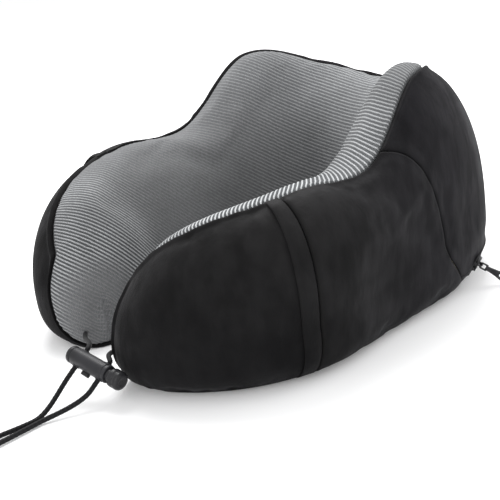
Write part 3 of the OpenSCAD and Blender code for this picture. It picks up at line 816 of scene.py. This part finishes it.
def pocket_velour(arm):
    last = (MOUTH_AT - HEM - 0.3) / RUN
    v, phi = side_grid(arm, lambda p: rear_seam(p) + 0.003, lambda p: np.full_like(p, last),
                       BASE_EDGE + 0.5, POCKET_GAP, 90, 100)
    k = scale_round(v, phi)
    top, base = (seam_angle(arm * v) - POCKET_GAP - phi) * k, (phi - BASE_EDGE) * k
    rear, hem = np.abs(v - rear_seam(phi)) * RUN, (last - v) * RUN
    rise = -1.1 * smooth(top / 9) * smooth(base / 6) * smooth(rear / 7)
    depth = 0.1 + rise + 0.9 * bell(hem, 1.0)
    edge = np.maximum.reduce([seam_shadow(hem), 0.5 * seam_shadow(top), 0.5 * seam_shadow(rear)])
    return v, phi, depth, edge, 1.0


def hem_velour(arm):
    first, last = (MOUTH_AT - HEM) / RUN, MOUTH_AT / RUN
    v, phi = side_grid(arm, lambda p: np.full_like(p, first), lambda p: np.full_like(p, last),
                       BASE_EDGE + 0.5, POCKET_GAP, 15, 100)
    k = scale_round(v, phi)
    top, base = (seam_angle(arm * v) - POCKET_GAP - phi) * k, (phi - BASE_EDGE) * k
    x = (v - first) / (last - first)
    crown = np.sin(np.pi * np.clip(x, 0, 1)) ** 0.6
    depth = -0.1 - 1.3 * smooth(top / 9) * smooth(base / 6) * (0.3 + 0.7 * crown)
    edge = 0.5 * bell(x, 0.14) + 0.4 * bell(1 - x, 0.12)
    return v, phi, depth, edge, 1.4


each_side("side_velour", side_velour, "side_panel")
each_side("pocket_velour", pocket_velour, "pocket")
each_side("hem_velour", hem_velour, "pocket_hem")


def zip_lip(v, away):
    """Angle of the cover's edge beside the zip: it closes on the zip's line past the zip's ends."""
    return ZIP_PHI + away * (1 - smooth((np.abs(v) * RUN - ZIP_END + 2) / 6)) + 0.1 * np.sign(away)


def back_sheet(name, low, high, top_seam, cols, *nodes):
    """Velour round the back between two edges, low and high, that depend on v, and the two rear seams."""
    j = np.linspace(0, 1, cols)[None]
    x = np.linspace(-1, 1, 200)[:, None]
    ends = {}
    for arm in (1, -1):
        guess = -20 + 93 * j
        for _ in range(4):
            ends[arm] = rear_seam(guess) - 0.0005
            guess = low(arm * ends[arm]) + (high(arm * ends[arm]) - low(arm * ends[arm])) * j
    v = np.where(x < 0, ends[-1], ends[1]) * x
    phi = low(v) + (high(v) - low(v)) * j
    k = scale_round(v, phi)
    rear = np.abs(rear_seam(phi) - np.abs(v)) * RUN
    a, b = (phi - low(v)) * k, (high(v) - phi) * k
    zip_edge, other = (a, b) if top_seam else (b, a)
    dip = seam_dip(other, 1.1) if top_seam else seam_dip(other, 0.5, 0.6)
    lip = 1.3 * bell(zip_edge, 4.0) - 0.5 * bell(zip_edge, 0.7)
    depth = COVER_DEPTH + dip + seam_dip(rear, 0.2, 0.5) - smooth((88 - np.abs(v) * RUN) / 8) * lip
    edge = np.maximum.reduce([seam_shadow(other), 0.3 * seam_shadow(rear), 0.4 * seam_shadow(zip_edge)])
    velour_sheet(name, v, phi, depth, edge, 0.9, *nodes)


back_sheet("back_velour", lambda v: zip_lip(v, 8.0), lambda v: seam_angle(v) - 0.05, True, 90, "back_panel")
back_sheet("back_lower_velour", lambda v: np.full_like(v, BASE_EDGE), lambda v: zip_lip(v, -8.0), False, 26)


def build_base():
    j = np.linspace(0, 1, 40)[None]
    inner_edge = KNIT_EDGE - 360
    v, phi = np.broadcast_arrays(bunched(np.linspace(-1, 1, 240)[:, None], 1.3),
                                 inner_edge + (BASE_EDGE - inner_edge) * j)
    edge_mm = np.minimum(j, 1 - j) * 52
    depth = 0.25 + 0.5 * bell(edge_mm, 1.2)
    velour_sheet("base_velour", v, phi, depth, seam_shadow(edge_mm), 1.0, "base_panel")


build_base()


def build_foam():
    """The foam core under the cover, cut back behind the zip."""
    v = knit_v(np.linspace(-1, 1, 150))[:, None]
    phi = (np.arange(72) * 5.0 - 180)[None]
    s = np.abs(v) * RUN
    relief = 4.5 * between(phi, -66, 12, -6, 12) * smooth((92 - s) / 10)
    g = cover(v, phi, 3.2 + relief)
    obj = mesh_object("foam_block", g.reshape(-1, 3), ring_faces(*g.shape[:2], inward=True))
    finish_piece(obj, FOAM, "pillow", "foam_core")


build_foam()


# --- zip
def on_band(across, out, angle):
    """Point of the zip's cone band: across runs up it, out away from it, angle round from the nape."""
    sl = math.radians(ZIP_SLOPE)
    r = ZIP_RADIUS + across * math.cos(sl) + out * math.sin(sl)
    z = ZIP_Z + across * math.sin(sl) - out * math.cos(sl)
    a = np.radians(angle)
    return np.stack([r * np.sin(a), BACK_CENTRE_Y + r * np.cos(a), z + 0 * a], -1)


def build_tape(side, place, node):
    angle = np.linspace(-ZIP_TURN - 3.2, ZIP_TURN + 3.2, 400)[:, None]
    past = np.abs(angle) - ZIP_TURN
    inner_edge = 2.4 - 2.35 * smooth(past / 0.9)
    outer_edge = 7.8 - 5.8 * smooth((past + 0.3) / 2.8)
    across = side * (inner_edge + (outer_edge - inner_edge) * np.linspace(0, 1, 14)[None])
    if side < 0:
        across = across[:, ::-1]
    wave = 0.06 * np.sin(np.radians(angle) * ZIP_RADIUS * 0.35 + across)
    outer, inner = on_band(across, 0.3 + wave, angle), on_band(across, -0.3 + wave, angle)
    obj = mesh_object(f"zip_tape_{place}", *shell(outer, inner))
    along = np.radians(angle) * ZIP_RADIUS + 0 * across
    attribute(obj, "along", np.tile(along.ravel(), 2))
    attribute(obj, "across", np.tile(across.ravel(), 2))
    finish_piece(obj, TAPE, "pillow", f"zip_tape_{node}")


def build_coil(side, place, node):
    pitch, per_turn = 1.15, 12
    length = 2 * math.radians(ZIP_TURN - 0.9) * ZIP_RADIUS
    tau = np.arange(int(length / pitch) * per_turn + 1) / per_turn
    angle = np.degrees((tau * pitch - length / 2 + (0 if side > 0 else pitch / 2)) / ZIP_RADIUS)
    phase = 2 * math.pi * tau
    across = side * (1.22 + 1.28 * np.cos(phase))
    out = 0.50 * np.sin(phase) + 0.05
    obj = mesh_object(f"zip_coil_{place}", *tube(on_band(across, out, angle), 0.26, 5))
    finish_piece(obj, COIL, "pillow", f"zip_coil_{node}")


def band_block(a0, a1, from_angle, to_angle):
    """A block on the zip's band between two distances across it."""
    half = 1.15
    corners = [on_band(a, n, t) for t in (from_angle, to_angle)
               for a, n in ((a0, -half), (a1, -half), (a1, half), (a0, half))]
    faces = [[3, 2, 1, 0], [4, 5, 6, 7], [0, 1, 5, 4], [1, 2, 6, 5], [2, 3, 7, 6], [3, 0, 4, 7]]
    return np.array(corners), faces


def bake(obj):
    """Applies every modifier of an object to its mesh."""
    graph = bpy.context.evaluated_depsgraph_get()
    graph.update()
    mesh = bpy.data.meshes.new_from_object(obj.evaluated_get(graph))
    obj.modifiers.clear()
    obj.data = mesh
    return obj


def bevelled(obj, width_mm, segments=3, angle=35):
    m = obj.modifiers.new("Bevel", "BEVEL")
    m.width, m.segments = width_mm * MM, segments
    m.limit_method, m.angle_limit = "ANGLE", math.radians(angle)
    bake(obj)
    obj.data.shade_smooth()
    return obj


for band in ((1, "top", "upper"), (-1, "bottom", "lower")):
    build_tape(*band)
    build_coil(*band)

STOP_FROM = ZIP_TURN - 0.6
stops = mesh_object("zip_end_stops", *join([
    band_block(0.7, 2.9, STOP_FROM, ZIP_TURN),
    band_block(-2.9, -0.7, STOP_FROM, ZIP_TURN),
    band_block(-2.8, 2.8, -ZIP_TURN, -STOP_FROM)]))
finish_piece(bevelled(stops, 0.18), METAL, "pillow", "zip_stops")


def matrix_of(*steps):
    """Frame reached by moves and by turns about the axes, in order."""
    m = Matrix.Identity(4)
    for kind, value in steps:
        if kind == "move":
            m = m @ Matrix.Translation(Vector(value))
        else:
            m = m @ Matrix.Rotation(math.radians(value), 4, kind)
    return m


SLIDER_FRAME = matrix_of(("move", (0, BACK_CENTRE_Y, 0)), ("Z", -SLIDER_PARK),
                         ("move", (0, ZIP_RADIUS, ZIP_Z)), ("X", ZIP_SLOPE - 180))
PULLER_FRAME = SLIDER_FRAME @ matrix_of(("move", (0, 0, PIN_OUT)), ("Z", 90), ("X", 90))
LOCK_FRAME = matrix_of(("move", LOCK_AT), ("Z", LOCK_YAW), ("Y", LOCK_DIP), ("X", LOCK_TURN))


def placed(matrix, points):
    m = np.array(matrix)
    return np.asarray(points, float) @ m[:3, :3].T + m[:3, 3]


def solid(name, matrix, part):
    """Mesh object from the points and faces of a part drawn in a local frame."""
    return mesh_object(name, placed(matrix, part[0]), part[1])


def plate(outline, z0, z1):
    """Flat plate of an (x, y) outline between two heights."""
    n = len(outline)
    points = [(x, y, z) for z in (z0, z1) for x, y in outline]
    sides = [[k, (k + 1) % n, (k + 1) % n + n, k + n] for k in range(n)]
    return np.array(points, float), [list(range(n))[::-1], list(range(n, 2 * n))] + sides


def arc(cx, cy, r, a0, a1, n=7):
    turns = np.radians(np.linspace(a0, a1, n))
    return [(cx + r * math.cos(a), cy + r * math.sin(a)) for a in turns]


def rounded_outline(half_front, half_back, half_length, corner):
    """Outline that tapers from front (+x) to back (-x) with round corners."""
    x, waist = half_length - corner, (half_front + half_back) / 2 - 0.25
    return (arc(x, half_front - corner, corner, 0, 90, 6) + [(0, waist)]
            + arc(-x, half_back - corner, corner, 90, 180, 6)
            + arc(-x, corner - half_back, corner, 180, 270, 6) + [(0, -waist)]
            + arc(x, corner - half_front, corner, 270, 360, 6))


def build_slider():
    """Two plates, the post and side rails between them, and the crown that holds the puller."""
    body, post = rounded_outline(4.0, 3.3, SLIDER_LENGTH / 2, 1.4), rounded_outline(0.5, 0.5, 0.6, 0.2)
    post = [(x + SLIDER_LENGTH / 2 - 0.8, y) for x, y in post]
    parts = [plate(body, 1.0, 2.2), plate(body, -2.2, -1.0), plate(post, -1.2, 1.2)]
    for side in (-1, 1):
        rail = [(-4.8, side * 3.25), (4.8, side * 3.5), (4.8, side * 3.95), (-4.8, side * 3.33)]
        parts.append(plate(rail[::side], 0.45, 1.2))
    obj = bevelled(solid("slider_body", SLIDER_FRAME, join(parts)), 0.22)
    foot, reach, rise = PIN_OUT - 1.5, 2.0, 1.05
    loop = [(x, 0, foot + (z - foot) * rise) for x, z in arc(0, foot, reach, 180, 0, 15)]
    loop = np.array([(-reach, 0, 1.9), *loop, (reach, 0, 1.9)])
    crown = solid("slider_crown", SLIDER_FRAME, tube(loop, 0.45, 12, 0.95))
    finish_piece(obj, METAL, "slider", "zip_slider")
    finish_piece(crown, METAL, "slider")


def build_puller():
    """The tab with its rimmed hole, and the wire link round the crown's pin."""
    end_r, hole_r, half = 3.0, 1.3, 1.75
    hole_at = PULLER_LENGTH - end_r
    outline = ([(3.2, -1.5), (3.2, 1.5), (6.0, 1.45), (11.0, 2.1)] + arc(hole_at, 0, end_r, 80, -80, 15)
               + [(11.0, -2.1), (6.0, -1.45)])
    tab = solid("puller_tab", PULLER_FRAME, plate([(y, x) for x, y in outline], -0.5, 0.5))
    cut(tab, solid("bore", PULLER_FRAME, plate(arc(0, hole_at, hole_r, 0, 345, 24), -2, 2)))
    bevelled(tab, 0.16)
    side = [(half, 4.4), (half, 3.0), (half, 0.8), (half, 0.0), (0.9, -0.02)]
    wire = np.array([(x, y, 0) for x, y in side + [(0, -0.02)] + [(-x, y) for x, y in side[::-1]]])
    wire = resampled(wire, np.arange(len(wire)), np.linspace(0, len(wire) - 1, 60))
    for _ in range(4):
        wire[1:-1] = (wire[:-2] + 2 * wire[1:-1] + wire[2:]) / 4
    link = solid("puller_link", PULLER_FRAME, tube(wire, 0.55, 10))
    rim = [(x, y, 0) for x, y in arc(0, hole_at, 1.25 * hole_r, 0, 345, 24)]
    eyelet = solid("puller_eyelet", PULLER_FRAME, tube(np.array(rim + rim[:2]), 0.28, 10, 0.62))
    finish_piece(tab, METAL, "puller", "zip_puller")
    finish_piece(link, METAL, "puller")
    finish_piece(eyelet, METAL, "puller")


def cut(obj, tool):
    """Takes a tool's shape out of an object and removes the tool."""
    m = obj.modifiers.new("Cut", "BOOLEAN")
    m.operation, m.object, m.solver = "DIFFERENCE", tool, "EXACT"
    bake(obj)
    bpy.data.objects.remove(tool)
    return obj


build_slider()
build_puller()


# --- cord lock
def lathe(profile, turns=96):
    """Solid of revolution about local X from (x, radius) pairs that start and end on the axis."""
    a = np.arange(turns) * 2 * math.pi / turns
    inner = np.array(profile[1:-1], float)
    x, r = inner[:, 0, None], inner[:, 1, None]
    rings = np.stack([x + 0 * a, r * np.cos(a), r * np.sin(a)], -1)
    n, m = rings.shape[:2]
    i = np.arange(n * m).reshape(n, m)
    j = np.roll(i, -1, 1)
    points = np.concatenate([rings.reshape(-1, 3), [[profile[0][0], 0, 0], [profile[-1][0], 0, 0]]])
    faces = np.stack([i[:-1], i[1:], j[1:], j[:-1]], -1).reshape(-1, 4).tolist()
    faces += [[n * m, int(i[0, k]), int(j[0, k])] for k in range(m)]
    faces += [[n * m + 1, int(j[-1, k]), int(i[-1, k])] for k in range(m)]
    return points, faces


def build_barrel():
    """The lock's barrel: bored from the button's end, with two rimmed cord holes and a small lug."""
    r, left, right = BARREL_R, -21.0, 10.5
    outer = ([(left, 0), (left, 2.2)] + arc(left + 1.4, r - 1.45, 1.4, 180, 90)
             + [(left + 2.6, r - 0.05), (left + 3.0, r - 0.45), (left + 3.5, r - 0.45), (left + 3.9, r)]
             + [(-2.0, r + 0.05), (right - 3.2, r), (right - 2.8, r - 0.4), (right - 2.3, r - 0.4),
                (right - 1.9, r)]
             + arc(right - 0.7, r - 0.7, 0.7, 90, 0) + [(right, 3.85), (right, 0)])
    barrel = solid("lock_body", LOCK_FRAME, lathe(outer))
    tools = [tube([(left + 1, 0, 0), (right + 2, 0, 0)], 3.72, 64)]
    tools += [tube([(x, -9, 0), (x, 9, 0)], CORD_R + 0.4, 40) for x in HOLES]
    for k, tool in enumerate(tools):
        cut(barrel, solid(f"tool{k}", LOCK_FRAME, tool))
    finish_piece(bevelled(barrel, 0.16, 2, 40), PLASTIC, "lock", "lock_barrel")
    around = np.linspace(0, 2 * math.pi, 42)
    for k, x in enumerate(HOLES):
        for end, y in (("front", -1), ("back", 1)):
            rim_r = CORD_R + 0.62
            path = np.stack([x + rim_r * np.cos(around), 0 * around, rim_r * np.sin(around)], -1)
            points, faces = tube(path, 0.34, 10)
            points[:, 1] += y * (np.sqrt(np.maximum(BARREL_R ** 2 - points[:, 2] ** 2, 0)) + 0.02)
            rim = solid(f"hole_rim_{k + 1}_{end}", LOCK_FRAME, (points, faces))
            finish_piece(rim, PLASTIC, "lock")
    points, faces = plate(rounded_outline(2.4, 2.4, 2.6, 0.9), -2.0, 0.2)
    points = points[:, [0, 2, 1]] * [1, 1, 0.62] + [HOLE_LEFT + 8.5, -BARREL_R - 0.1, -0.9]
    lug = solid("lock_lug", LOCK_FRAME, (points, [f[::-1] for f in faces]))
    finish_piece(bevelled(lug, 0.35), BUTTON, "lock")


def build_button():
    """The ridged push button and its stem, slotted for the cords."""
    press, crown = 13.6, 5.4
    head = ([(press, 0), (press, 4.6)] + arc(press + 0.7, 4.7, 0.7, 180, 90)
            + [(press + 3.2, 5.42), (press + 3.5, 5.2), (press + 4.0, 5.2), (press + 4.3, 5.42)]
            + arc(21 - 1.9, crown - 1.9, 1.9, 80, 12) + [(21.0, 2.6), (20.75, 2.1), (20.7, 1.2), (20.7, 0)])
    button = solid("button_head", LOCK_FRAME, lathe(head))
    stem = lathe([(-15.65, 0), (-15.65, 2.9), (-15.3, 3.4), (-14.8, 3.62), (press - 0.3, 3.62),
                  (press + 0.5, 3.3), (press + 0.5, 0)], 72)
    stem = solid("button_stem", LOCK_FRAME, stem)
    for k, x in enumerate(HOLES):
        slot_r = CORD_R + 0.15
        points, faces = plate(arc(x + 2.5, 0, slot_r, -90, 90, 20) + arc(x, 0, slot_r, 90, 270, 20), -6, 6)
        cut(stem, solid(f"slot{k}", LOCK_FRAME, (points[:, [0, 2, 1]], [f[::-1] for f in faces])))
    finish_piece(button, BUTTON, "button", "lock_plunger")
    finish_piece(bevelled(stem, 0.12, 2, 40), BUTTON, "button")


def build_spring():
    """The spring behind the stem, squashed when the button goes in."""
    turns, coil_r, start, length = 3.0, 2.7, -19.6, 3.55
    t = np.linspace(0, turns, int(turns * 36) + 1)
    a = 2 * math.pi * t
    path = np.stack([start + length * t / turns, coil_r * np.cos(a), coil_r * np.sin(a)], -1)
    spring = solid("plunger_spring", LOCK_FRAME, tube(path, 0.25, 12))
    finish_piece(spring, STEEL, "lock", "lock_spring")
    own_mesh(spring)


HOLES = (HOLE_LEFT, HOLE_RIGHT)
build_barrel()
build_button()
build_spring()


# --- drawcords
def bend(a, b, c, d, n):
    """n points of the cubic curve with ends a and d and handles b and c."""
    u = np.linspace(0, 1, n)[:, None]
    return (1 - u) ** 3 * a + 3 * u * (1 - u) ** 2 * b + 3 * u * u * (1 - u) * c + u ** 3 * d


def cord_path(anchor, lead, run_in, hole, rest, tail):
    """From inside an arm's tip through one of the lock's holes, down to the floor and along it."""
    inlet, outlet = (placed(LOCK_FRAME, [(hole, y, 0)])[0] for y in (BARREL_R + 0.6, -BARREL_R - 6.8))
    step = (outlet - inlet) / np.linalg.norm(outlet - inlet)
    anchor, lead, rest, tail = (np.array(p, float) for p in (anchor, lead, rest, tail))
    path = np.concatenate([
        bend(anchor, anchor + lead, inlet - run_in * step, inlet, 60)[:-1],
        bend(inlet, inlet + (outlet - inlet) / 3, inlet + (outlet - inlet) * 2 / 3, outlet, 24)[:-1],
        bend(outlet, outlet + 10 * step, rest + [-2, 9, 0], rest, 60)[:-1],
        bend(rest, rest + [2, -9, 0], tail + [-1, 9, 0], tail, 50)])
    run = run_along(path)
    return resampled(path, run, np.arange(0, run[-1], CORD_STEP))


def build_cord(name, path, node):
    """A braided round cord with an overhand knot at its end."""
    sides = 24
    s = np.arange(len(path))[:, None] * CORD_STEP
    a = (np.arange(sides) * 2 * math.pi / sides)[None]
    k = 2 * math.pi / BRAID_PITCH
    weave = np.sin(4 * a + k * s) * np.sin(4 * a - k * s)
    r = CORD_R * (0.94 + 0.06 * weave)
    r = r * np.minimum(1, 0.5 + s / 1.2) * np.minimum(1, 0.5 + (s[-1] - s) / 1.2)
    obj = mesh_object(name, *tube(path, r, sides))
    attribute(obj, "strand", np.broadcast_to(0.5 + 0.5 * weave, r.shape))
    finish_piece(obj, CORD, "pillow", node)
    end, back = path[-8], path[-8] - path[-9]
    back = back / np.linalg.norm(back)
    wraps, width, sides = 2.4, 2.35, 14
    t = np.linspace(0, wraps, 90)[:, None]
    side = np.cross(back, (0, 0, 1.0))
    lift = np.cross(side, back)
    knot = (end + [0, 0, 1.9] + back * (t - wraps / 2) * 2.3
            + width * (np.cos(2 * math.pi * t) * side + np.sin(2 * math.pi * t) * lift))
    fat = 1.35 * np.minimum(1, 0.35 + np.minimum(t, wraps - t) * 4)
    knot_obj = mesh_object(name + "_knot", *tube(knot, fat, sides))
    attribute(knot_obj, "strand", np.repeat(0.5 + 0.5 * np.sin(np.arange(len(knot)) * 0.9), sides))
    finish_piece(knot_obj, CORD, "pillow")


CORD_Z, REST_Y = CORD_R + 0.2, -299
tip_x, tip_y = centre(np.array(RUN))
build_cord("cord_right", cord_path((tip_x + 8.2, tip_y - 20.5, 20), (-2, -10, 0), 3, HOLE_RIGHT,
                                   (43, REST_Y, CORD_Z), (50, REST_Y - 38, CORD_Z)), "drawcord_right")
build_cord("cord_left", cord_path((-tip_x - 4.5, tip_y - 14, 12), (14, -9, 0), 8, HOLE_LEFT,
                                  (39, REST_Y, CORD_Z), (40, REST_Y - 42, CORD_Z)), "drawcord_left")


# --- floor, light and camera
def build_stage():
    bpy.ops.mesh.primitive_plane_add(size=6.0, location=(0, 0, -0.0004))
    floor = bpy.context.object
    floor.name = "floor"
    f = Finish("floor")
    floor.data.materials.append(f.done(
        Base_Color=f.mix(f.noise(3, 2.0), (0.93, 0.93, 0.935), (0.95, 0.95, 0.955)), Roughness=0.95,
        Specular_IOR_Level=0.05, Emission_Color=(1.0, 1.0, 1.0), Emission_Strength=0.10))
    world = bpy.data.worlds.new("studio")
    bpy.context.scene.world = world
    world.use_nodes = True
    background = world.node_tree.nodes["Background"]
    background.inputs["Color"].default_value = (1, 1, 1, 1)
    background.inputs["Strength"].default_value = 0.95
    for name, place, size, watts, aim in (
            ("key", (-0.55, 0.245, 1.15), 0.9, 17.0, (0, -0.105, 0.05)),
            ("fill", (0.9, -1.105, 0.7), 1.2, 7.0, (0, -0.105, 0.05)),
            ("rim", (0.5, 0.995, 0.7), 0.8, 5.0, (0, -0.105, 0.08))):
        data = bpy.data.lights.new(name, "AREA")
        data.size, data.energy = size, watts
        lamp = bpy.data.objects.new(name, data)
        bpy.context.scene.collection.objects.link(lamp)
        lamp.location = place
        lamp.rotation_euler = (Vector(aim) - Vector(place)).to_track_quat("-Z", "Y").to_euler()
    bpy.context.scene.view_settings.view_transform = "Standard"


def build_camera(azimuth, elevation, roll, distance, target, focal_px):
    """Camera that looks at target; focal_px is the focal length in pixels of a picture 500 wide."""
    az, el, ro = (math.radians(a) for a in (azimuth, elevation, roll))
    back = Vector((math.sin(az) * math.cos(el), -math.cos(az) * math.cos(el), math.sin(el)))
    right = Vector((math.cos(az), math.sin(az), 0))
    up = back.cross(right)
    r2, u2 = right * math.cos(ro) + up * math.sin(ro), up * math.cos(ro) - right * math.sin(ro)
    data = bpy.data.cameras.new("camera")
    data.sensor_width, data.lens, data.clip_end = 36.0, focal_px / 500 * 36.0, 20
    cam = bpy.data.objects.new("camera", data)
    bpy.context.scene.collection.objects.link(cam)
    m = Matrix((r2, u2, back)).transposed().to_4x4()
    m.translation = Vector(target) + back * distance
    cam.matrix_world = m
    bpy.context.scene.camera = cam


build_stage()
build_camera(58.655, 18.717, -8.649, 0.73975, (-0.01946, -0.11102, 0.03037), 1115.755)
